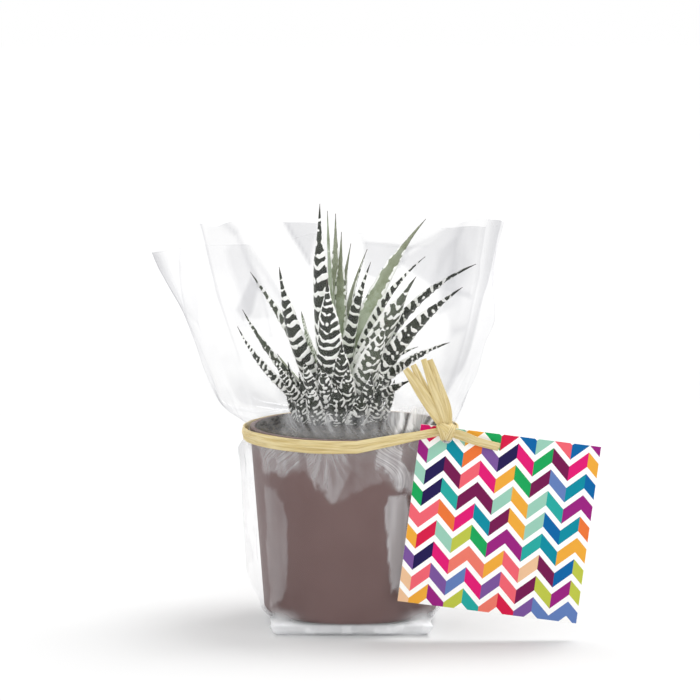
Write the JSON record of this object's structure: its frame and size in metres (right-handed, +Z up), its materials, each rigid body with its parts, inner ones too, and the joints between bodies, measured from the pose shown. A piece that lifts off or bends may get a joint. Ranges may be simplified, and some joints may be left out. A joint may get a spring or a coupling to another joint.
{
  "type": "potted haworthia",
  "caption": "Zebra haworthia in a tapered pot, standing in an open bag of clear film that a raffia band ties round the rim, with a square card tag on the knot.",
  "frame": {"origin": "centre of the bag's flat base on the table, on the pot's axis", "axes": "+Z up along the pot's axis, +X towards the side where the tag hangs, -Y the way the tag's printed face looks"},
  "size_m": [0.1256, 0.0622, 0.1185],
  "materials": {
    "pot": "satin",
    "soil": "matte",
    "leaf": "satin",
    "film": "gloss",
    "raffia": "satin",
    "card": "satin"
  },
  "bodies": {
    "root": {"pot": "pot", "soil": "soil", "haworthia": "leaf", "film_bag": "film", "raffia_tie": "raffia", "tag": "card"}
  },
  "joints": []
}
